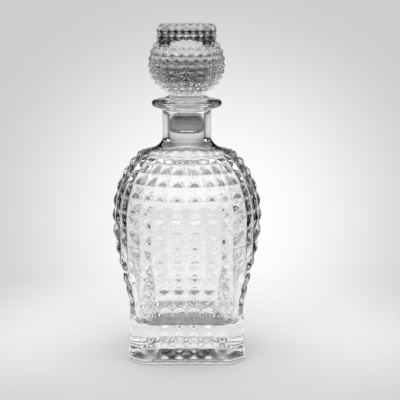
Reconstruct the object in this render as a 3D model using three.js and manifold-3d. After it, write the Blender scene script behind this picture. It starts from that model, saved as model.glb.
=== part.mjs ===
// Liquor decanter of clear pressed glass, in millimetres, +Z up, standing on z = 0 with its axis on Z.
// The bottle is one piece of glass: a heavy square foot with bevelled corners that swells into a round bulb,
// covered in rows of four-sided diamond points, under a plain shoulder, neck and flanged lip.
// The stopper is the other piece: a ball of diamond points with a studded square block on its crown,
// a collar that rests over the lip, and a tapered shank that fills the bore of the neck.
import * as THREE from "three";
import { mergeVertices } from "three/addons/utils/BufferGeometryUtils.js";
import Module from "manifold-3d";

const wasm = await Module();
wasm.setup();

// Foot and flats of the bottle
const BASE_WIDTH = 86.6; // across two opposite flats
const FLAT_WIDTH = 65.4; // one flat, between its two corner bevels
const FLAT_COLUMNS = 6; // diamond points across one flat
const FLAT_HEIGHT = 36.5; // the flats draw in a little up to here, then lean out
const FLAT_DRAFT = THREE.MathUtils.degToRad(2.2);
const LEAN_RADIUS = 40; // of the curve between the two slopes
const LEAN_ANGLE = THREE.MathUtils.degToRad(16.2);
const BEVEL_SHARE = 0.45; // how far the corner bevels move with the flats
const FOOT_BEVEL = 1.5; // cut off the lowest edge
const FOOT_BAND = 2.3; // top of the plain band of glass under the first row of points
const BAND_EDGE = 0.6; // rise from the band into the first valley
const PUNT_RADIUS = 29; // shallow hollow under the foot
const PUNT_DEPTH = 1.8;

// Bulb and its diamond points
const GIRTH = 112.3; // widest diameter, over the crests of the points
const GIRTH_HEIGHT = 105;
const SHOULDER_RADIUS = 64.4; // arc of the bulb above its girth
const SHOULDER_TURN = THREE.MathUtils.degToRad(43.9); // and how far it turns inwards
const EDGE_RADIUS = 10; // tighter arc over the edge of the shoulder
const EDGE_TURN = THREE.MathUtils.degToRad(80); // slope where it ends, and the last row of points with it
const ROWS = 16;
const RELIEF = 1.7; // crest of a point above the valleys round it
const LAST_RELIEF = 0.8; // the same at the top of the last row
const EDGE_SHARPNESS = 60; // how tightly flats, bevels and bulb meet
const ARRIS_FADE_HEIGHT = 78; // the corner arrises have sunk into the pattern here

// Plain shoulder, neck and lip
const SHOULDER_GAP = 0.8; // between the last valley and the plain glass
const SHOULDER_REACH = 7.5; // length of the nearly flat start of the shoulder
const SHOULDER_HEIGHT = 10.9; // from the last row of points to the neck
const NECK_DIAMETER = 36;
const NECK_CURL = 6; // height of the curl from shoulder into neck
const NECK_LENGTH = 17.7;
const LIP_FLARE = 2.8; // how far the flare under the lip stands out
const LIP_FLARE_HEIGHT = 4.3;
const LIP_DIAMETER = 51.8;
const LIP_THICKNESS = 4.7;

// Inside of the bottle
const WALL = 4.6; // glass behind the valleys of the points
const FLOOR_HEIGHT = 26; // solid glass under the liquor
const FLOOR_FILLET = 9;
const INSIDE_SHARPNESS = 16; // the blown inside has soft corners
const BORE_DIAMETER = 27; // at the mouth
const BORE_TAPER = 0.025; // radius lost for each millimetre of depth
const MOUTH_BEVEL = 0.9;

// Stopper
const FIT_CLEARANCE = 0.3; // between shank and bore, and between collar and lip
const SHANK_LENGTH = 24;
const SHANK_TIP_RADIUS = 3; // rounding of the lower end
const COLLAR_DIAMETER = 32.4;
const COLLAR_THICKNESS = 2;
const COLLAR_ROUND = 0.7;
const WAIST_DIAMETER = 27;
const WAIST_LENGTH = 2.2;
const BALL_DIAMETER = 57.2; // over the crests
const BALL_UNDER = 24.9; // the lower half is an ellipsoid of this half-height
const BALL_RELIEF = 1.35;
const BALL_COLUMNS = 24;
const BALL_ROWS = 10;
const BALL_ROW_ANGLE = THREE.MathUtils.degToRad(10.9);
const BALL_LOWEST_ANGLE = THREE.MathUtils.degToRad(-61.8);
const BLOCK_WIDTH = 40.9; // across two faces, at the valleys between studs
const BLOCK_CORNER = 2.9; // bevel of the four upright corners
const BLOCK_BEVEL = 0.8; // drop of the border of studs round the top
const BLOCK_COLUMNS = 7;
const BLOCK_ROWS = 2;
const BLOCK_HEIGHT = 9.7; // studded part, to the valleys on its top
const BLOCK_SKIRT = 4.6; // plain part under it, whose corners rest on the ball as lugs
const BLOCK_RISE = 14.1; // underside of the skirt above the middle of the ball
const STUD_HEIGHT = 1.3;

const TURN_SEGMENTS = 48; // facets round a turned shape
const POINT = (x, y) => new THREE.Vector2(x, y);

// One glass finish for both pieces
function clearGlass() {
  return new THREE.MeshStandardMaterial({
    color: 0xe8eeee,
    roughness: 0.04,
    metalness: 0,
    transparent: true,
    opacity: 0.35,
  });
}

// Turns three.js triangles into a solid for joining and cutting.
function toSolid(geometry) {
  const bare = geometry.clone();
  bare.deleteAttribute("normal");
  bare.deleteAttribute("uv");
  const merged = mergeVertices(bare, 1e-4);
  return new wasm.Manifold(
    new wasm.Mesh({
      numProp: 3,
      vertProperties: merged.attributes.position.array,
      triVerts: new Uint32Array(merged.index.array),
    }),
  );
}

function toGeometry(solid) {
  const mesh = solid.getMesh();
  const geometry = new THREE.BufferGeometry();
  geometry.setAttribute("position", new THREE.BufferAttribute(mesh.vertProperties, 3));
  geometry.setIndex(new THREE.BufferAttribute(mesh.triVerts, 1));
  geometry.computeVertexNormals();
  return geometry;
}

// Closed skin over a stack of rings with the same number of points, ended by one point at each pole.
// The diagonals of neighbouring panels alternate, so that a raised point gets four ridges to its corners.
function skin(startPole, rings, endPole) {
  const count = rings[0].length;
  const positions = [startPole, ...rings.flat(), endPole].flatMap((p) => [p.x, p.y, p.z]);
  const at = (ring, place) => 1 + ring * count + (place % count);
  const last = 1 + rings.length * count;
  const faces = [];
  for (let j = 0; j < count; j += 1) {
    faces.push(0, at(0, j + 1), at(0, j));
    for (let k = 0; k + 1 < rings.length; k += 1) {
      const [a, b, c, d] = [at(k, j), at(k, j + 1), at(k + 1, j + 1), at(k + 1, j)];
      if ((j + k) % 2 === 0) faces.push(a, b, c, a, c, d);
      else faces.push(a, b, d, b, c, d);
    }
    faces.push(last, at(rings.length - 1, j), at(rings.length - 1, j + 1));
  }
  const geometry = new THREE.BufferGeometry();
  geometry.setAttribute("position", new THREE.Float32BufferAttribute(positions, 3));
  geometry.setIndex(faces);
  geometry.computeVertexNormals();
  return geometry;
}

// Lines up the sides of the columns of points (even places) and their middles (odd places), all round.
// On the flats they are evenly spaced across the flat, and one column covers each corner bevel.
function columnPlaces() {
  const places = [];
  const halfColumn = FLAT_WIDTH / FLAT_COLUMNS / 2;
  for (let side = 0; side < 4; side += 1) {
    const facing = (side * Math.PI) / 2;
    for (let i = -FLAT_COLUMNS; i <= FLAT_COLUMNS; i += 1) {
      const local = Math.atan2(i * halfColumn, BASE_WIDTH / 2);
      places.push({ angle: facing + local, local, arris: Math.abs(i) === FLAT_COLUMNS });
    }
    places.push({ angle: facing + Math.PI / 4, local: Math.PI / 4, arris: false });
  }
  return places;
}

const PLACES = columnPlaces();

// Distance of a flat from the axis: drawing in, then a curve, then a straight lean outwards.
function flatDistance(z) {
  const curveHeight = LEAN_RADIUS * (Math.sin(LEAN_ANGLE) + Math.sin(FLAT_DRAFT));
  const below = Math.min(z, FLAT_HEIGHT);
  const above = Math.max(0, z - FLAT_HEIGHT);
  const onCurve = Math.min(above, curveHeight) - LEAN_RADIUS * Math.sin(FLAT_DRAFT);
  const curved = LEAN_RADIUS * Math.cos(FLAT_DRAFT) - Math.sqrt(LEAN_RADIUS ** 2 - onCurve ** 2);
  const leant = Math.max(0, above - curveHeight) * Math.tan(LEAN_ANGLE);
  return BASE_WIDTH / 2 - below * Math.tan(FLAT_DRAFT) + curved + leant;
}

function bevelDistance(z) {
  return (BASE_WIDTH + FLAT_WIDTH) / Math.SQRT2 / 2 + (flatDistance(z) - BASE_WIDTH / 2) * BEVEL_SHARE;
}

// Radius of the bulb: upright below its girth, then the shoulder's arc and the arc over its edge.
const EDGE_START = GIRTH_HEIGHT + SHOULDER_RADIUS * Math.sin(SHOULDER_TURN);
const PATTERN_TOP = EDGE_START + EDGE_RADIUS * (Math.sin(EDGE_TURN) - Math.sin(SHOULDER_TURN));

function bulbRadius(z) {
  const centre = GIRTH / 2 - SHOULDER_RADIUS;
  if (z <= EDGE_START) return centre + Math.sqrt(SHOULDER_RADIUS ** 2 - Math.max(0, z - GIRTH_HEIGHT) ** 2);
  const edgeCentre = centre + (SHOULDER_RADIUS - EDGE_RADIUS) * Math.cos(SHOULDER_TURN);
  const above = z - EDGE_START + EDGE_RADIUS * Math.sin(SHOULDER_TURN);
  return edgeCentre + Math.sqrt(Math.max(0, EDGE_RADIUS ** 2 - above ** 2));
}

// The least of several distances, with the meetings between them rounded.
function softLeast(distances, sharpness) {
  const least = Math.min(...distances);
  const sum = distances.reduce((total, d) => total + (least / d) ** sharpness, 0);
  return least * sum ** (-1 / sharpness);
}

// Radius of a cross-section at one place round it, where flats, corner bevels and bulb meet.
function sectionRadius(local, flat, bevel, bulb, sharpness) {
  const cuts = [flat / Math.cos(local), bevel / Math.cos(Math.PI / 4 - Math.abs(local)), bulb];
  return softLeast(cuts, sharpness);
}

function crestRadius(local, z) {
  return sectionRadius(local, flatDistance(z), bevelDistance(z), bulbRadius(z), EDGE_SHARPNESS);
}

function onRing(place, radius, z) {
  return new THREE.Vector3(Math.cos(place.angle) * radius, Math.sin(place.angle) * radius, z);
}

const roundRing = (radius, z) => PLACES.map((place) => onRing(place, radius, z));

// A point of the outside, sunk by a depth below the crests along the profile's own normal.
function outsidePoint(place, z, depth) {
  const step = 0.02;
  const slope = (crestRadius(place.local, z + step) - crestRadius(place.local, z - step)) / (2 * step);
  const length = Math.hypot(1, slope);
  const radius = crestRadius(place.local, z) - depth / length;
  return onRing(place, radius, z + (depth * slope) / length);
}

// The corner arrises stand level with the crests at the foot, and sink to the valleys higher up.
function arrisShare(z) {
  return THREE.MathUtils.smoothstep(z, FLAT_HEIGHT, ARRIS_FADE_HEIGHT);
}

// Relief of the points, which dies away towards the plain shoulder.
function reliefAt(z) {
  return THREE.MathUtils.lerp(RELIEF, LAST_RELIEF, THREE.MathUtils.smoothstep(z, EDGE_START, PATTERN_TOP));
}

// Heights of the rings of points: one in each valley between rows, one through the crests of each row.
// Rows are as much taller as the body is wider.
function ringHeights() {
  const start = FOOT_BAND + BAND_EDGE;
  const samples = 3000;
  const rise = (PATTERN_TOP - start) / samples;
  const covered = [0];
  for (let i = 0; i < samples; i += 1) {
    const z = start + rise * i;
    const growth = crestRadius(0, z + rise) - crestRadius(0, z);
    covered.push(covered[i] + Math.hypot(rise, growth) / crestRadius(0, z));
  }
  const heights = [];
  for (let k = 0; k <= ROWS * 2; k += 1) {
    const wanted = (covered[samples] * k) / (ROWS * 2);
    const found = covered.findIndex((c) => c >= wanted - 1e-9);
    heights.push(start + rise * found);
  }
  return heights;
}

function pointRings() {
  return ringHeights().map((z, k) =>
    PLACES.map((place, j) => {
      const crest = k % 2 === 1 && j % 2 === 1;
      const share = place.arris ? arrisShare(z) : 1;
      return outsidePoint(place, z, crest ? 0 : reliefAt(z) * share);
    }),
  );
}

// Underside and plain foot band, from the hollow under the foot outwards.
function footRings() {
  const puntSteps = 3;
  const rings = [];
  for (let i = 1; i <= puntSteps; i += 1) {
    const share = i / puntSteps;
    rings.push(roundRing(PUNT_RADIUS * share, PUNT_DEPTH * (1 - share ** 2)));
  }
  const band = (z, inset) => PLACES.map((place) => onRing(place, crestRadius(place.local, z) - inset, z));
  rings.push(band(0, FOOT_BEVEL), band(FOOT_BEVEL, 0), band(FOOT_BAND, 0));
  return rings;
}

// Side view of the upper bottle: the plain shoulder curls into the neck.
const NECK_START = PATTERN_TOP + SHOULDER_HEIGHT;
const plainStart = POINT(bulbRadius(PATTERN_TOP) - SHOULDER_GAP, PATTERN_TOP);
const inwards = POINT(-Math.sin(EDGE_TURN), Math.cos(EDGE_TURN));
const plainShoulder = new THREE.CubicBezierCurve(
  plainStart,
  plainStart.clone().addScaledVector(inwards, SHOULDER_REACH),
  POINT(NECK_DIAMETER / 2, NECK_START - NECK_CURL),
  POINT(NECK_DIAMETER / 2, NECK_START),
);
const NECK_TOP = NECK_START + NECK_LENGTH;
const LIP_BOTTOM = NECK_TOP + LIP_FLARE_HEIGHT;
const LIP_TOP = LIP_BOTTOM + LIP_THICKNESS;
const boreRadius = (z) => BORE_DIAMETER / 2 - (LIP_TOP - z) * BORE_TAPER;

// Plain glass from the shoulder to the mouth.
function neckRings() {
  const shoulderSteps = 7;
  const edgeSteps = 4;
  const edgeRadius = LIP_THICKNESS / 2;
  const rings = plainShoulder.getPoints(shoulderSteps).map((p) => roundRing(p.x, p.y));
  rings.push(roundRing(NECK_DIAMETER / 2, NECK_TOP));
  rings.push(roundRing(NECK_DIAMETER / 2 + LIP_FLARE, LIP_BOTTOM));
  for (let i = 0; i <= edgeSteps; i += 1) {
    const turn = Math.PI * (i / edgeSteps - 0.5);
    const radius = LIP_DIAMETER / 2 - edgeRadius + edgeRadius * Math.cos(turn);
    rings.push(roundRing(radius, LIP_BOTTOM + edgeRadius + edgeRadius * Math.sin(turn)));
  }
  rings.push(roundRing(boreRadius(LIP_TOP) + MOUTH_BEVEL, LIP_TOP));
  rings.push(roundRing(boreRadius(LIP_TOP - MOUTH_BEVEL), LIP_TOP - MOUTH_BEVEL));
  return rings;
}

// Inside of the bottle, from the bore down to the floor.
function insideRings() {
  const sunk = RELIEF + WALL;
  const bore = boreRadius(NECK_START);
  const centre = POINT(GIRTH / 2 - SHOULDER_RADIUS, GIRTH_HEIGHT);
  const onArc = (turn) => {
    const radius = SHOULDER_RADIUS - sunk;
    return POINT(centre.x + radius * Math.cos(turn), centre.y + radius * Math.sin(turn));
  };
  const arcEnd = onArc(SHOULDER_TURN);
  const reach = (NECK_START - arcEnd.y) / 2;
  const shoulder = new THREE.CubicBezierCurve(
    POINT(bore, NECK_START),
    POINT(bore, NECK_START - reach),
    POINT(arcEnd.x - reach * Math.sin(SHOULDER_TURN), arcEnd.y + reach * Math.cos(SHOULDER_TURN)),
    arcEnd,
  );
  const shoulderSteps = 6;
  const rings = shoulder.getPoints(shoulderSteps).map((p) => roundRing(p.x, p.y));
  const arcSteps = 4;
  for (let i = arcSteps - 1; i >= 0; i -= 1) {
    const p = onArc((SHOULDER_TURN * i) / arcSteps);
    rings.push(roundRing(p.x, p.y));
  }
  const wallRing = (z, inset) =>
    PLACES.map((place) => {
      const flat = flatDistance(z) - sunk - inset;
      const bulb = GIRTH / 2 - sunk - inset;
      const bevel = bevelDistance(z) - sunk - inset;
      return onRing(place, sectionRadius(place.local, flat, bevel, bulb, INSIDE_SHARPNESS), z);
    });
  const filletTop = FLOOR_HEIGHT + FLOOR_FILLET;
  const wallSteps = 6;
  for (let i = 1; i <= wallSteps; i += 1) {
    rings.push(wallRing(THREE.MathUtils.lerp(GIRTH_HEIGHT, filletTop, i / wallSteps), 0));
  }
  const filletSteps = 3;
  for (let i = 1; i <= filletSteps; i += 1) {
    const turn = ((Math.PI / 2) * i) / filletSteps;
    const inset = FLOOR_FILLET * (1 - Math.cos(turn));
    rings.push(wallRing(filletTop - FLOOR_FILLET * Math.sin(turn), inset));
  }
  return rings;
}

function bottle() {
  const rings = [...footRings(), ...pointRings(), ...neckRings(), ...insideRings()];
  const underside = new THREE.Vector3(0, 0, PUNT_DEPTH);
  const floor = new THREE.Vector3(0, 0, FLOOR_HEIGHT);
  const mesh = new THREE.Mesh(skin(underside, rings, floor), clearGlass());
  mesh.name = "bottle";
  return mesh;
}

// The stopper is modelled with its collar's underside on z = 0, and is then set over the lip.
const BALL_MIDDLE = COLLAR_THICKNESS + WAIST_LENGTH - BALL_UNDER * Math.sin(BALL_LOWEST_ANGLE);

// Ball of diamond points, closed inside the waist below and inside the block above.
function stopperBall() {
  const crest = BALL_DIAMETER / 2;
  const count = BALL_COLUMNS * 2;
  const rings = [];
  for (let k = 0; k <= BALL_ROWS * 2; k += 1) {
    const rise = BALL_LOWEST_ANGLE + (BALL_ROW_ANGLE * k) / 2;
    const flattening = rise < 0 ? BALL_UNDER / crest : 1;
    const ring = [];
    for (let j = 0; j < count; j += 1) {
      const turn = (2 * Math.PI * j) / count;
      const radius = k % 2 && j % 2 ? crest : crest - BALL_RELIEF;
      const across = radius * Math.cos(rise);
      const up = BALL_MIDDLE + radius * flattening * Math.sin(rise);
      ring.push(new THREE.Vector3(Math.cos(turn) * across, Math.sin(turn) * across, up));
    }
    rings.push(ring);
  }
  const bottom = new THREE.Vector3(0, 0, rings[0][0].z);
  const top = new THREE.Vector3(0, 0, rings[rings.length - 1][0].z);
  return skin(bottom, rings, top);
}

// Collects triangles and four-sided panels into one geometry.
function faceCollector() {
  const positions = [];
  const triangle = (a, b, c) => positions.push(...a.toArray(), ...b.toArray(), ...c.toArray());
  const panel = (a, b, c, d) => {
    triangle(a, b, c);
    triangle(a, c, d);
  };
  const geometry = () =>
    new THREE.BufferGeometry().setAttribute("position", new THREE.Float32BufferAttribute(positions, 3));
  return { triangle, panel, geometry };
}

// A grid of four-sided studs on the flat panel that starts at a corner and runs along two edges.
function studPanel(faces, corner, across, up, columns, rows) {
  const outward = across.clone().cross(up).normalize().multiplyScalar(STUD_HEIGHT);
  const grid = (i, k) =>
    corner.clone().addScaledVector(across, i / columns).addScaledVector(up, k / rows);
  for (let i = 0; i < columns; i += 1) {
    for (let k = 0; k < rows; k += 1) {
      const base = [grid(i, k), grid(i + 1, k), grid(i + 1, k + 1), grid(i, k + 1)];
      const tip = grid(i + 0.5, k + 0.5).add(outward);
      base.forEach((p, n) => faces.triangle(p, base[(n + 1) % 4], tip));
    }
  }
}

// Square block with bevelled corners: studs on its top, the border round it, its four sides and
// four corner bevels, and a plain skirt underneath.
function stopperBlock() {
  const faces = faceCollector();
  const half = BLOCK_WIDTH / 2;
  const inner = half - BLOCK_CORNER;
  const bottom = BALL_MIDDLE + BLOCK_RISE;
  const low = bottom + BLOCK_SKIRT;
  const high = low + BLOCK_HEIGHT;
  const rim = high - BLOCK_BEVEL;
  const V = (x, y, z) => new THREE.Vector3(x, y, z);
  const pitch = (2 * inner) / BLOCK_COLUMNS;
  const middle = V(0, 0, bottom);
  const topEdge = 2 * inner;
  studPanel(faces, V(-inner, -inner, high), V(topEdge, 0, 0), V(0, topEdge, 0), BLOCK_COLUMNS, BLOCK_COLUMNS);
  for (let side = 0; side < 4; side += 1) {
    const on = (x, y, z) => V(x, y, z).applyAxisAngle(V(0, 0, 1), (side * Math.PI) / 2);
    const upward = V(0, 0, rim - low);
    const overRim = on(inner - half, 0, high - rim);
    studPanel(faces, on(half, -inner, low), on(0, topEdge, 0), upward, BLOCK_COLUMNS, BLOCK_ROWS);
    studPanel(faces, on(half, inner, low), on(inner - half, half - inner, 0), upward, 1, BLOCK_ROWS);
    studPanel(faces, on(half, -inner, rim), on(0, topEdge, 0), overRim, BLOCK_COLUMNS, 1);
    for (let i = 0; i < BLOCK_COLUMNS; i += 1) {
      const [from, to] = [pitch * i - inner, pitch * (i + 1) - inner];
      faces.panel(on(half, from, bottom), on(half, to, bottom), on(half, to, low), on(half, from, low));
      faces.triangle(middle, on(half, to, bottom), on(half, from, bottom));
    }
    faces.triangle(on(half, inner, rim), on(inner, half, rim), on(inner, inner, high));
    faces.panel(on(half, inner, bottom), on(inner, half, bottom), on(inner, half, low), on(half, inner, low));
    faces.triangle(middle, on(inner, half, bottom), on(half, inner, bottom));
  }
  return faces.geometry();
}

// Shank, collar and waist as one turned profile that ends inside the ball.
function stopperShank() {
  const topRadius = boreRadius(LIP_TOP) - FIT_CLEARANCE;
  const tipRadius = boreRadius(LIP_TOP - SHANK_LENGTH) - FIT_CLEARANCE;
  const collar = COLLAR_DIAMETER / 2;
  const profile = new THREE.Path();
  profile.moveTo(0, -SHANK_LENGTH);
  profile.lineTo(tipRadius - SHANK_TIP_RADIUS, -SHANK_LENGTH);
  profile.quadraticCurveTo(tipRadius, -SHANK_LENGTH, tipRadius, SHANK_TIP_RADIUS - SHANK_LENGTH);
  profile.lineTo(topRadius, 0);
  profile.lineTo(collar - COLLAR_ROUND, 0);
  profile.quadraticCurveTo(collar, 0, collar, COLLAR_ROUND);
  profile.lineTo(collar, COLLAR_THICKNESS - COLLAR_ROUND);
  profile.quadraticCurveTo(collar, COLLAR_THICKNESS, collar - COLLAR_ROUND, COLLAR_THICKNESS);
  profile.lineTo(WAIST_DIAMETER / 2, COLLAR_THICKNESS);
  profile.lineTo(WAIST_DIAMETER / 2, COLLAR_THICKNESS + WAIST_LENGTH * 2);
  profile.lineTo(0, COLLAR_THICKNESS + WAIST_LENGTH * 2);
  return new THREE.LatheGeometry(profile.getPoints(3), TURN_SEGMENTS).rotateX(Math.PI / 2);
}

function stopper() {
  const shape = toSolid(stopperBall()).add(toSolid(stopperBlock())).add(toSolid(stopperShank()));
  const mesh = new THREE.Mesh(toGeometry(shape), clearGlass());
  mesh.name = "stopper";
  mesh.position.z = LIP_TOP + FIT_CLEARANCE;
  return mesh;
}

const decanter = new THREE.Group();
decanter.add(bottle(), stopper());

export default decanter;
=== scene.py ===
# Liquor decanter of clear pressed glass, dressed for a studio picture, in metres, +Z up.
import math

import bmesh
import bpy
import numpy as np
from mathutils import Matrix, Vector


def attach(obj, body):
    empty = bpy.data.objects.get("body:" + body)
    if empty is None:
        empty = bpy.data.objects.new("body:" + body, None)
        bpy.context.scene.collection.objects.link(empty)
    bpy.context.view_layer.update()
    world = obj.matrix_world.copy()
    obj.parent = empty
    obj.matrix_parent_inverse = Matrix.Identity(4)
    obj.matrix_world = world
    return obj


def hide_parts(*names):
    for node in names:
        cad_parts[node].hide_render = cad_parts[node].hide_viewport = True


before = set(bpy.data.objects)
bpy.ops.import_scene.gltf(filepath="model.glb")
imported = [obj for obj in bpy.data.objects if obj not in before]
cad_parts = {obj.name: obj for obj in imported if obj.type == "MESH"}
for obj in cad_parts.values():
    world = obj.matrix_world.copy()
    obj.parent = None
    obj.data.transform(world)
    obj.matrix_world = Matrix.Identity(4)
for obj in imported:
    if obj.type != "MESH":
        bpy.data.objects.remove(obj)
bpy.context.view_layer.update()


# Bottle
# One piece of clear pressed glass. Rings of points run from under the foot, over the diamond
# points, shoulder and lip, and down the inside to the floor. Lengths here are millimetres.


class Section:
    """Cross-section of the body: four flats, four corner bevels and the bulb that they meet."""

    base_width = 86.6
    flat_width = 65.4
    flat_height = 36.5
    flat_draft = math.radians(2.2)
    lean_radius = 40.0
    lean_angle = math.radians(16.2)
    bevel_share = 0.45
    girth = 112.3
    girth_height = 105.0
    shoulder_radius = 64.4
    shoulder_turn = math.radians(43.9)
    edge_radius = 10.0
    edge_turn = math.radians(80)
    edge_start = girth_height + shoulder_radius * math.sin(shoulder_turn)
    top = edge_start + edge_radius * (math.sin(edge_turn) - math.sin(shoulder_turn))

    def __init__(self, sunk, sharpness):
        self.sunk = sunk
        self.sharpness = sharpness

    def flat(self, z):
        """Distance of a flat from the axis: drawing in, then a curve, then a straight lean out."""
        curve_height = self.lean_radius * (math.sin(self.lean_angle) + math.sin(self.flat_draft))
        below = np.minimum(z, self.flat_height)
        above = np.maximum(0, z - self.flat_height)
        on_curve = np.minimum(above, curve_height) - self.lean_radius * math.sin(self.flat_draft)
        curved = self.lean_radius * math.cos(self.flat_draft)
        curved = curved - np.sqrt(self.lean_radius**2 - on_curve**2)
        lean = np.maximum(0, above - curve_height) * math.tan(self.lean_angle)
        return self.base_width / 2 - below * math.tan(self.flat_draft) + curved + lean - self.sunk

    def bevel(self, z):
        foot = (self.base_width + self.flat_width) / 2 / math.sqrt(2) - self.sunk
        return foot + (self.flat(z) + self.sunk - self.base_width / 2) * self.bevel_share

    def bulb(self, z):
        """Radius of the bulb: its main arc, and the tighter arc over the edge of the shoulder."""
        centre = self.girth / 2 - self.shoulder_radius
        above = np.maximum(0, z - self.girth_height)
        main = np.sqrt(np.maximum(0, (self.shoulder_radius - self.sunk) ** 2 - above**2))
        shift = (self.shoulder_radius - self.edge_radius) * math.cos(self.shoulder_turn)
        over = z - self.edge_start + self.edge_radius * math.sin(self.shoulder_turn)
        edge = shift + np.sqrt(np.maximum(0, self.edge_radius**2 - over**2))
        return centre + np.where(z <= self.edge_start, main, edge)

    def radius(self, local, z, inset=0.0):
        flat = (self.flat(z) - inset) / np.cos(local)
        corner = (self.bevel(z) - inset) / np.cos(math.pi / 4 - np.abs(local))
        cuts = np.stack(np.broadcast_arrays(flat, corner, self.bulb(z) - inset))
        least = cuts.min(axis=0)
        return least * ((least / cuts) ** self.sharpness).sum(axis=0) ** (-1 / self.sharpness)


def smooth_rise(x, start, end):
    t = np.clip((x - start) / (end - start), 0, 1)
    return t * t * (3 - 2 * t)


def point_depth(a, b, left=1.0, right=1.0, rounding=0.18):
    """Depth of a diamond point's surface under its crest, 0 at the crest and 1 in the valleys.
    a and b run from -1 to 1 across the point. left and right say how deep its two sides lie."""
    sides = np.stack(np.broadcast_arrays(
        np.maximum(0, -a) * left,
        np.maximum(0, a) * right,
        np.maximum(0, np.abs(b) * (left + right) / 2 + a * (right - left) / 2),
    ))
    depth = (sides**12).sum(axis=0) ** (1 / 12)
    depth = np.minimum(depth, 1)
    return (np.sqrt(depth**2 + rounding**2) - rounding) / (math.sqrt(1 + rounding**2) - rounding)


def bezier(points, count):
    t = np.linspace(0, 1, count)[:, None]
    a, b, c, d = (np.array(p, float) for p in points)
    return a * (1 - t) ** 3 + 3 * b * t * (1 - t) ** 2 + 3 * c * t**2 * (1 - t) + d * t**3


def arc(middle, radius, start, end, count):
    turn = np.radians(np.linspace(start, end, count))
    return np.array(middle) + radius * np.stack([np.cos(turn), np.sin(turn)], axis=1)


def ring_mesh(name, rings, first_pole, last_pole):
    """Closed mesh over rings of equally many points, in millimetres, with one point at each end."""
    rings = np.array(rings)
    count = rings.shape[1]
    points = np.concatenate([[first_pole], rings.reshape(-1, 3), [last_pole]]) / 1000
    quads = []
    ends = []
    index = 1 + np.arange(len(rings) * count).reshape(len(rings), count)
    beside = np.roll(index, -1, axis=1)
    last = len(points) - 1
    for k in range(len(rings) - 1):
        quads += np.stack([index[k], beside[k], beside[k + 1], index[k + 1]], axis=1).tolist()
    ends += np.stack([np.zeros(count, int), beside[0], index[0]], axis=1).tolist()
    ends += np.stack([np.full(count, last), index[-1], beside[-1]], axis=1).tolist()
    mesh = bpy.data.meshes.new(name)
    mesh.from_pydata(points.tolist(), [], quads + ends)
    mesh.polygons.foreach_set("use_smooth", [True] * len(mesh.polygons))
    mesh.update()
    return mesh


def add_piece(name, mesh, body, node):
    piece = bpy.data.objects.new(name, mesh)
    bpy.context.collection.objects.link(piece)
    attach(piece, body)
    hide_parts(node)
    return piece


columns = 6
rows = 16
steps = 8
relief = 1.7
last_relief = 0.8
arris_end = 78
wall = 4.6
floor_height = 26.0
fillet = 9.0
hollow_radius = 29
hollow_depth = 1.8
foot_rounding = 1.5
neck_radius = 18.0
neck_start = Section.top + 10.9
neck_top = neck_start + 17.7
lip_bottom = neck_top + 4.3
lip_thickness = 4.7
lip_top = lip_bottom + lip_thickness
lip_radius = 25.9
shoulder_pull = 7.5
neck_pull = 6
flare_radius = 20.2
flare_height = 2.6
mouth_radius = 13.5
mouth_rounding = 1
bore_taper = 0.025
outside = Section(0, 60)
inside = Section(relief + wall, 16)

# Places round the body: how far across its column, and the depth share of the column's two sides.
local, facing, across, left_arris, right_arris = [], [], [], [], []
corner_start = math.atan2(outside.flat_width, outside.base_width)
for side in range(4):
    for column in range(columns + 1):
        for step in range(steps):
            share = step / steps
            if column < columns:
                offset = (column + share - columns / 2) * outside.flat_width / columns
                local.append(math.atan2(offset, outside.base_width / 2))
            else:
                local.append(corner_start + share * (math.pi / 2 - 2 * corner_start))
            facing.append(side * math.pi / 2)
            across.append(2 * share - 1)
            left_arris.append(column in (0, columns))
            right_arris.append(column in (columns - 1, columns))
local, facing, across = np.array(local), np.array(facing), np.array(across)
left_arris, right_arris = np.array(left_arris), np.array(right_arris)
turn = local + facing
bent = np.where(local > math.pi / 4, local - math.pi / 2, local)


def on_ring(radius, z, around=turn):
    """Ring of points at the angles of around. radius and z are single values or one for each."""
    radius, z, _ = np.broadcast_arrays(radius, z, around)
    return np.stack([radius * np.cos(around), radius * np.sin(around), z], axis=1)


def outside_ring(z, depth):
    """Ring of the outside at height z, sunk by depth below the crests along the profile's normal."""
    slope = (outside.radius(bent, z + 0.02) - outside.radius(bent, z - 0.02)) / 0.04
    length = np.hypot(1, slope)
    return on_ring(outside.radius(bent, z) - depth / length, z + depth * slope / length)


def patterned_ring(z, b):
    sunk = smooth_rise(z, outside.flat_height, arris_end)
    left = np.where(left_arris, sunk, 1)
    right = np.where(right_arris, sunk, 1)
    fading = smooth_rise(z, outside.edge_start, outside.top)
    height = relief + (last_relief - relief) * fading
    return outside_ring(z, height * point_depth(across, b, left, right))


band_top = 2.3
band_edge = 0.6
pattern_start = band_top + band_edge
heights = np.linspace(pattern_start, outside.top, 401)
middle = outside.radius(np.zeros(401), heights)
covered = np.concatenate([[0], np.cumsum(np.hypot(np.diff(heights), np.diff(middle)) / middle[:-1])])
levels = np.interp(covered[-1] * np.arange(rows * steps + 1) / (rows * steps), covered, heights)

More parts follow.
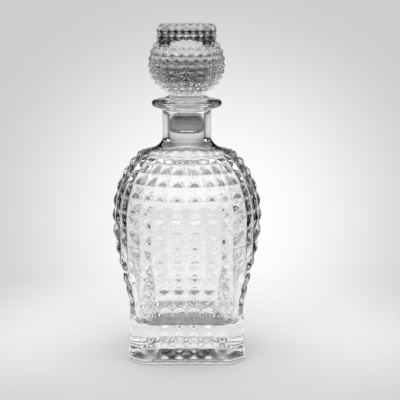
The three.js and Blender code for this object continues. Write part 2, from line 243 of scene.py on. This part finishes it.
rings = [on_ring(hollow_radius * s, hollow_depth * (1 - s**2)) for s in np.linspace(0.15, 1, 8)]
rings += [on_ring(outside.radius(bent, 0.0) - inset, 0.0) for inset in (8.0, 3.0)]
for r, z in arc((-foot_rounding, foot_rounding), foot_rounding, -90, 0, 6):
    rings.append(on_ring(outside.radius(bent, 0.0) + r, z))
rings += [on_ring(outside.radius(bent, z), z) for z in (1.9, band_top)]
for share in (0.25, 0.6):
    sunk = relief * share * 0.8
    rings.append(on_ring(outside.radius(bent, band_top) - sunk, band_top + band_edge * share))
for k, z in enumerate(levels):
    rings.append(patterned_ring(z, 2 * (k % steps) / steps - 1))
shoulder_start = np.array((float(outside.bulb(outside.top)) - last_relief, outside.top))
inwards = np.array((-math.sin(outside.edge_turn), math.cos(outside.edge_turn)))
shoulder_curl = shoulder_start + shoulder_pull * inwards
neck_curl = (neck_radius, neck_start - neck_pull)
neck_foot = (neck_radius, neck_start)
shoulder = bezier([shoulder_start, shoulder_curl, neck_curl, neck_foot], 22)
rings += [on_ring(r, z) for r, z in shoulder]
rings += [on_ring(neck_radius, z) for z in np.linspace(neck_start, neck_top - 1, 6)[1:]]
lip_start = (lip_radius - lip_thickness / 2, lip_bottom)
flare_start = (neck_radius, neck_top - 1)
flare_curl = (neck_radius, neck_top + flare_height)
under_lip = bezier([flare_start, flare_curl, (flare_radius, lip_bottom), lip_start], 12)
rings += [on_ring(r, z) for r, z in under_lip[1:]]
rim_middle = (lip_radius - lip_thickness / 2, lip_bottom + lip_thickness / 2)
rim = arc(rim_middle, lip_thickness / 2, -90, 90, 14)
rings += [on_ring(r, z) for r, z in rim[1:]]
mouth_edge = (mouth_radius + mouth_rounding, lip_top - mouth_rounding)
rings += [on_ring(r, z) for r, z in arc(mouth_edge, mouth_rounding, 90, 180, 6)]


def bore(z):
    return mouth_radius - (lip_top - z) * bore_taper


rings += [on_ring(bore(z), z) for z in np.linspace(lip_top - 2, neck_start, 8)]
inner_start = np.array((bore(neck_start), neck_start))
inner_top = inside.girth_height + (inside.shoulder_radius - inside.sunk) * math.sin(inside.shoulder_turn)
inner_end = np.array((float(inside.bulb(inner_top)), inner_top))
reach = (neck_start - inner_top) / 2
inner_inwards = np.array((-math.sin(inside.shoulder_turn), math.cos(inside.shoulder_turn)))
inner_shoulder = bezier(
    [inner_start, inner_start - (0, reach), inner_end + reach * inner_inwards, inner_end], 18
)
rings += [on_ring(r, z) for r, z in inner_shoulder[1:]]
for z in np.linspace(inner_top, inside.girth_height, 16)[1:]:
    rings.append(on_ring(inside.bulb(z), z))
for z in np.linspace(inside.girth_height, floor_height + fillet, 30)[1:]:
    rings.append(on_ring(inside.radius(bent, z), z))
for angle in np.radians(np.linspace(0, 90, 10)[1:]):
    z = floor_height + fillet * (1 - math.sin(angle))
    rings.append(on_ring(inside.radius(bent, z, fillet * (1 - math.cos(angle))), z))
floor_edge = inside.radius(bent, floor_height, fillet)
rings += [on_ring(floor_edge * share, floor_height) for share in (0.8, 0.5, 0.2)]

bottle = add_piece(
    "bottle_glass_body",
    ring_mesh("bottle_glass_body", rings, (0, 0, hollow_depth), (0, 0, floor_height)),
    "bottle",
    "bottle",
)


class Wire:
    """A socket of a node tree that can be added, multiplied and compared like a number."""

    def __init__(self, tree, socket):
        self.tree = tree
        self.socket = socket

    def node(self, kind, inputs=None, output=0, **settings):
        made = self.tree.nodes.new(kind)
        for key, value in settings.items():
            setattr(made, key, value)
        for key, value in (inputs or {}).items():
            if isinstance(value, Wire):
                self.tree.links.new(value.socket, made.inputs[key])
            else:
                made.inputs[key].default_value = value
        return Wire(self.tree, made.outputs[output])

    def math(self, operation, *others):
        values = dict(enumerate((self, *others)))
        return self.node("ShaderNodeMath", values, operation=operation)

    def __add__(self, other):
        return self.math("ADD", other)

    def __sub__(self, other):
        return self.math("SUBTRACT", other)

    def __rsub__(self, other):
        return (self * -1) + other

    def __mul__(self, other):
        return self.math("MULTIPLY", other)

    def __truediv__(self, other):
        return self.math("DIVIDE", other)

    def __pow__(self, other):
        return self.math("POWER", other)

    __radd__ = __add__
    __rmul__ = __mul__

    def between(self, start, end, low=0.0, high=1.0):
        """Smooth change from low to high while this goes from start to end."""
        values = {"Value": self, "From Min": start, "From Max": end, "To Min": low, "To Max": high}
        return self.node("ShaderNodeMapRange", values, interpolation_type="SMOOTHSTEP")

    def mix(self, first, second):
        """Colour between first and second, by this as the share of second."""
        values = {"Factor": self, 6: first, 7: second}
        return self.node("ShaderNodeMix", values, output=2, data_type="RGBA")


def glass(name, ripple_size, seed, clearness_and_shade):
    """Clear fire-polished glass: faint ripples left by the mould, and a skin that is a little less
    polished in patches."""
    material = bpy.data.materials.new(name)
    material.use_nodes = True
    tree = material.node_tree
    shader = tree.nodes["Principled BSDF"]
    shader.inputs["Transmission Weight"].default_value = 1.0
    shader.inputs["IOR"].default_value = 1.52
    start = Wire(tree, None)
    place = start.node("ShaderNodeTexCoord", output=3)

    def noise(size, detail=2.0):
        inputs = {"Vector": place, "W": seed, "Scale": 1 / size, "Detail": detail}
        return start.node("ShaderNodeTexNoise", inputs, noise_dimensions="4D")

    ripple = noise(ripple_size) * 0.00006 + noise(ripple_size / 6) * 0.000005
    skin = noise(0.004, 4.0).between(0.45, 0.75)
    bump = start.node("ShaderNodeBump", {"Height": ripple, "Distance": 1.0, "Strength": 1.0})
    # The glass colour is pale near 1 for clear glass. A lower value makes a darker copy of the same
    # glass, which is painted shade.
    pale = (clearness_and_shade, clearness_and_shade, clearness_and_shade * 0.995, 1)
    cool = (clearness_and_shade * 0.985, clearness_and_shade * 0.995, clearness_and_shade * 0.99, 1)
    tint = noise(0.05).between(0.3, 0.7).mix(cool, pale)
    tree.links.new(bump.socket, shader.inputs["Normal"])
    tree.links.new((skin * 0.012 + 0.002).socket, shader.inputs["Roughness"])
    tree.links.new(tint.socket, shader.inputs["Base Color"])
    return material


bottle.data.materials.append(glass("bottle_glass", 0.014, 2.0, 0.99))


# Stopper
# One piece of clear pressed glass: a ball of diamond points, a studded square block over it and a
# turned collar and shank under it, joined into one skin.
clearance = 0.3
shank_length = 24.0
tip_rounding = 2.2
collar_radius = 16.2
collar_thickness = 2.0
collar_rounding = 0.7
waist_radius = 13.5
waist_length = 2.2
ball_radius = 28.6
ball_under = 24.9
ball_relief = 1.35
ball_columns = 24
ball_rows = 10
row_angle = math.radians(10.9)
lowest_angle = math.radians(-61.8)
seat = lip_top + clearance
ball_middle = seat + collar_thickness + waist_length - ball_under * math.sin(lowest_angle)

ball_rings = []
ball_turn = np.linspace(0, 2 * math.pi, ball_columns * steps, endpoint=False)
ball_across = 2 * (np.arange(ball_columns * steps) % steps) / steps - 1
for k in range(ball_rows * steps + 1):
    rise = lowest_angle + row_angle * k / steps
    depth = ball_relief * point_depth(ball_across, 2 * (k % steps) / steps - 1, rounding=0.05)
    radius = ball_radius - depth
    flattening = ball_under / ball_radius if rise < 0 else 1
    height = ball_middle + radius * flattening * math.sin(rise)
    ball_rings.append(on_ring(radius * math.cos(rise), height, ball_turn))
ball = ring_mesh(
    "stopper_ball",
    ball_rings,
    (0, 0, ball_rings[0][0][2]),
    (0, 0, ball_rings[-1][0][2]),
)


def turned_mesh(name, profile):
    """Turned solid from a profile of radius and height that starts and ends on the axis."""
    rings = [on_ring(r, z, ball_turn) for r, z in profile[1:-1]]
    return ring_mesh(name, rings, (0, 0, profile[0][1]), (0, 0, profile[-1][1]))


top_radius = mouth_radius - clearance
tip_radius = bore(lip_top - shank_length) - clearance
tip = seat - shank_length
shank_profile = [(0, tip), (4, tip)]
tip_middle = (tip_radius - tip_rounding, tip + tip_rounding)
shank_profile += arc(tip_middle, tip_rounding, -90, 0, 8).tolist()
shank_profile += [(top_radius, seat - 0.6)]
shank_profile += [(top_radius + 0.6, seat), (collar_radius - 1, seat)]
collar_edge = collar_radius - collar_rounding
collar_bottom = (collar_edge, seat + collar_rounding)
collar_top = (collar_edge, seat + collar_thickness - collar_rounding)
shank_profile += arc(collar_bottom, collar_rounding, -80, 0, 5).tolist()
shank_profile += arc(collar_top, collar_rounding, 0, 90, 6).tolist()
shank_profile += [(waist_radius, seat + collar_thickness + 0.1)]
waist_top = seat + collar_thickness + 2 * waist_length
shank_profile += [(waist_radius, waist_top), (0, waist_top)]
shank = turned_mesh("stopper_shank", shank_profile)

block_half = 20.45
block_corner = 2.9
block_bevel = 0.8
block_height = 9.7
block_skirt = 4.6
stud_columns = 7
stud_rows = 2
stud_height = 1.3
block_low = ball_middle + 14.1
stud_steps = 6

block = bmesh.new()


def sheet(points):
    """Adds a grid of panels over rows of points to the block."""
    grid = [[block.verts.new(Vector(p) / 1000) for p in row] for row in points]
    for one, other in zip(grid, grid[1:]):
        for k in range(len(one) - 1):
            block.faces.new((one[k], one[k + 1], other[k + 1], other[k]))


def studs(corner, along, up, columns, rows):
    """Adds a sheet of studs that starts at corner and spans the edges along and up."""
    corner, along, up = Vector(corner), Vector(along), Vector(up)
    out = along.cross(up).normalized() * stud_height
    points = []
    for k in range(rows * stud_steps + 1):
        row = []
        for j in range(columns * stud_steps + 1):
            a = 2 * (j % stud_steps) / stud_steps - 1
            b = 2 * (k % stud_steps) / stud_steps - 1
            lift = 1 - float(point_depth(np.float64(a), np.float64(b), rounding=0.12))
            place = corner + along * (j / (columns * stud_steps)) + up * (k / (rows * stud_steps))
            row.append(place + out * lift)
        points.append(row)
    sheet(points)


def turned(side, x, y, z):
    """Point turned about the axis by as many right angles as side says."""
    for _ in range(side):
        x, y = -y, x
    return Vector((x, y, z))


inner = block_half - block_corner
low = block_low + block_skirt
high = low + block_height
rim_height = high - block_bevel
spots = np.linspace(-inner, inner, stud_columns * stud_steps + 1)
shares = np.linspace(0, 1, stud_steps + 1)
bevel = [(block_half - block_corner * t, inner + block_corner * t) for t in shares]
outline = [(block_half, y) for y in spots] + bevel[1:]
upward = (0, 0, rim_height - low)
studs((-inner, -inner, high), (2 * inner, 0, 0), (0, 2 * inner, 0), stud_columns, stud_columns)
for side in range(4):
    along = turned(side, 0, 2 * inner, 0)
    over_bevel = turned(side, -block_corner, block_corner, 0)
    over_rim = turned(side, -block_corner, 0, high - rim_height)
    studs(turned(side, block_half, -inner, low), along, upward, stud_columns, stud_rows)
    studs(turned(side, block_half, inner, low), over_bevel, upward, 1, stud_rows)
    studs(turned(side, block_half, -inner, rim_height), along, over_rim, stud_columns, 1)
    sheet([[turned(side, x, y, z) for x, y in outline] for z in (block_low, low)])
    sheet([[turned(side, x * k, y * k, block_low) for x, y in outline] for k in (0.02, 1)])
    bevel_top = [turned(side, x, y, rim_height) for x, y in bevel]
    sheet([bevel_top, [turned(side, inner, inner, high)] * len(bevel_top)])

# The underside runs in to a small hole at the axis, which is filled.
bmesh.ops.remove_doubles(block, verts=block.verts, dist=1e-6)
hole = [edge for edge in block.edges if edge.is_boundary]
bmesh.ops.holes_fill(block, edges=hole, sides=0)
bmesh.ops.recalc_face_normals(block, faces=block.faces)
block_mesh = bpy.data.meshes.new("stopper_block")
block.to_mesh(block_mesh)
block.free()
block_mesh.polygons.foreach_set("use_smooth", [True] * len(block_mesh.polygons))

parts = []
for part_mesh in (ball, shank, block_mesh):
    part = bpy.data.objects.new(part_mesh.name, part_mesh)
    bpy.context.collection.objects.link(part)
    parts.append(part)
for other in parts[1:]:
    joining = parts[0].modifiers.new(other.name, "BOOLEAN")
    joining.operation = "UNION"
    joining.solver = "MANIFOLD"
    joining.object = other
joined = bpy.data.meshes.new_from_object(parts[0].evaluated_get(bpy.context.evaluated_depsgraph_get()))
joined.name = "stopper_glass_body"
for part in parts:
    bpy.data.objects.remove(part)
stopper = add_piece("stopper_glass_body", joined, "stopper", "stopper")
stopper.data.materials.clear()
# The stopper is the same clear glass as the bottle, made darker (0.7) as painted shade.
stopper.data.materials.append(glass("stopper_glass", 0.009, 7.0, 0.7))


# Studio
# A pale table top that fades into a backdrop with a glow in its middle. The glass is lit as glass
# on white is: by a bright paper behind it, softboxes above and to its sides, and dark between them.
table_radius = 1.5
table_height = -0.0002
table = bpy.data.meshes.new("table")
table_turn = np.linspace(0, 2 * math.pi, 96, endpoint=False)
table_edge = on_ring(table_radius, table_height, table_turn)
table.from_pydata(table_edge.tolist(), [], [range(96)])
table_top = bpy.data.objects.new("table", table)
bpy.context.collection.objects.link(table_top)


def mixed_surface(material, share, first, second):
    """Mixes two shaders on the material's surface. share is the part that the second one has."""
    tree = material.node_tree
    final = tree.nodes.new("ShaderNodeMixShader")
    for key, value in enumerate((share, first, second)):
        tree.links.new(value.socket, final.inputs[key])
    tree.links.new(final.outputs[0], tree.nodes["Material Output"].inputs["Surface"])


material = bpy.data.materials.new("table")
material.use_nodes = True
tree = material.node_tree
shader = tree.nodes["Principled BSDF"]
shader.inputs["Roughness"].default_value = 0.6
shader.inputs["Specular IOR Level"].default_value = 0.2
start = Wire(tree, None)
place = start.node("ShaderNodeTexCoord", output=3)
distance = start.node("ShaderNodeVectorMath", {0: place}, output=1, operation="LENGTH")
fade = distance.between(0.1, 0.28)
# Painted shade: the table's colour goes from 0.72 at the front to 0.93 further back, so it is darker
# towards the front.
depth = start.node("ShaderNodeSeparateXYZ", {0: place}, output=1)
shade = depth.between(-0.16, 0.04).mix((0.72, 0.72, 0.715, 1), (0.93, 0.93, 0.925, 1))
tree.links.new(shade.socket, shader.inputs["Base Color"])
clear = start.node("ShaderNodeBsdfTransparent")
mixed_surface(material, fade, Wire(tree, shader.outputs[0]), clear)
table.materials.append(material)

paper_distance = 0.45
paper_side = 1
paper_bottom = -0.4
paper_top = 0.25
corners = [
    (-paper_side, paper_distance, paper_bottom),
    (paper_side, paper_distance, paper_bottom),
    (paper_side, paper_distance, paper_top),
    (-paper_side, paper_distance, paper_top),
]
backdrop = bpy.data.meshes.new("backdrop")
backdrop.from_pydata(corners, [], [range(4)])
paper = bpy.data.objects.new("backdrop", backdrop)
bpy.context.collection.objects.link(paper)

# The paper shows in the glass only. It is bright behind the body and dark towards its top.
material = bpy.data.materials.new("backdrop")
material.use_nodes = True
material.cycles.emission_sampling = "NONE"
tree = material.node_tree
start = Wire(tree, None)
place = start.node("ShaderNodeTexCoord", output=3)
paper_x, _, paper_z = (start.node("ShaderNodeSeparateXYZ", {0: place}, output=k) for k in range(3))
aside = paper_x / 0.8
above = ((paper_z - 0.01) / 0.2).math("MAXIMUM", 0.0)
light = ((aside * aside + above * above) ** 0.5).between(0.2, 1.15, 0.88, 0.05)
from_mirror = start.node("ShaderNodeLightPath", output="Is Glossy Ray")
from_glass = start.node("ShaderNodeLightPath", output="Is Transmission Ray").math("MAXIMUM", from_mirror)
clear = start.node("ShaderNodeBsdfTransparent")
bright = start.node("ShaderNodeEmission", {"Strength": light})
mixed_surface(material, from_glass, clear, bright)
backdrop.materials.append(material)

world = bpy.data.worlds.new("studio")
bpy.context.scene.world = world
world.use_nodes = True
world.cycles.sampling_method = "NONE"
tree = world.node_tree
start = Wire(tree, None)
toward = start.node("ShaderNodeTexCoord", output=0)
x, y, z = (start.node("ShaderNodeSeparateXYZ", {0: toward}, output=k) for k in range(3))
azimuth = x.math("ARCTAN2", y) * (180 / math.pi)
height = z.math("ARCSINE") * (180 / math.pi)

# The camera sees a grey backdrop with a glow low behind the decanter.
glow_x = (azimuth - 0.5) / 8.7
glow_y = (height + 11.9) / 8.0
glow = ((glow_x * glow_x + glow_y * glow_y) ** 0.5).between(0.2, 1.35, 1.0, 0.0)
seen_grey = glow * 0.37 + 0.62

# The glass shows the table's bright surround, a strip that lights the foot, and softboxes.
round_about = azimuth.math("ABSOLUTE")
sweep = height.between(-19, -12, 1.0, 0.0) * height.between(-34, -22, 0.5, 1.0)
sweep = sweep * round_about.between(80, 110, 1.0, 0.4)
gleam = height.between(19, 20) * height.between(28, 32, 1.0, 0.0)
gleam = gleam * round_about.between(10, 14, 0.9, 0.0)
softboxes = round_about.between(33, 37) * height.between(14, 17)
softboxes = softboxes * round_about.between(80, 120, 1.7, 2.4)
through_grey = sweep.math("MAXIMUM", gleam).math("MAXIMUM", softboxes) + 0.01

# The table is lit evenly from all sides.
from_camera = start.node("ShaderNodeLightPath", output="Is Camera Ray")
from_table = start.node("ShaderNodeLightPath", output="Diffuse Depth").math("MINIMUM", 1.0)
seen = from_camera * seen_grey + (1 - from_camera) * through_grey
level = from_table + (1 - from_table) * seen
tree.nodes["Background"].inputs["Color"].default_value = (1, 1, 0.992, 1)
tree.links.new(level.socket, tree.nodes["Background"].inputs["Strength"])

# Camera
# Far back with a long lens, a little above the decanter, which stands left of the middle.
data = bpy.data.cameras.new("camera")
data.lens = 117
data.sensor_width = 36
camera = bpy.data.objects.new("camera", data)
bpy.context.collection.objects.link(camera)
target = Vector((0.00975, 0, 0.1148))
distance = 0.975
pitch = math.radians(11)
camera.location = target + Vector((0, -math.cos(pitch), math.sin(pitch))) * distance
camera.rotation_euler = (math.pi / 2 - pitch, 0, 0)
bpy.context.scene.camera = camera

settings = bpy.context.scene
settings.view_settings.view_transform = "Standard"
settings.cycles.max_bounces = 32
settings.cycles.transmission_bounces = 32
settings.cycles.transparent_max_bounces = 16
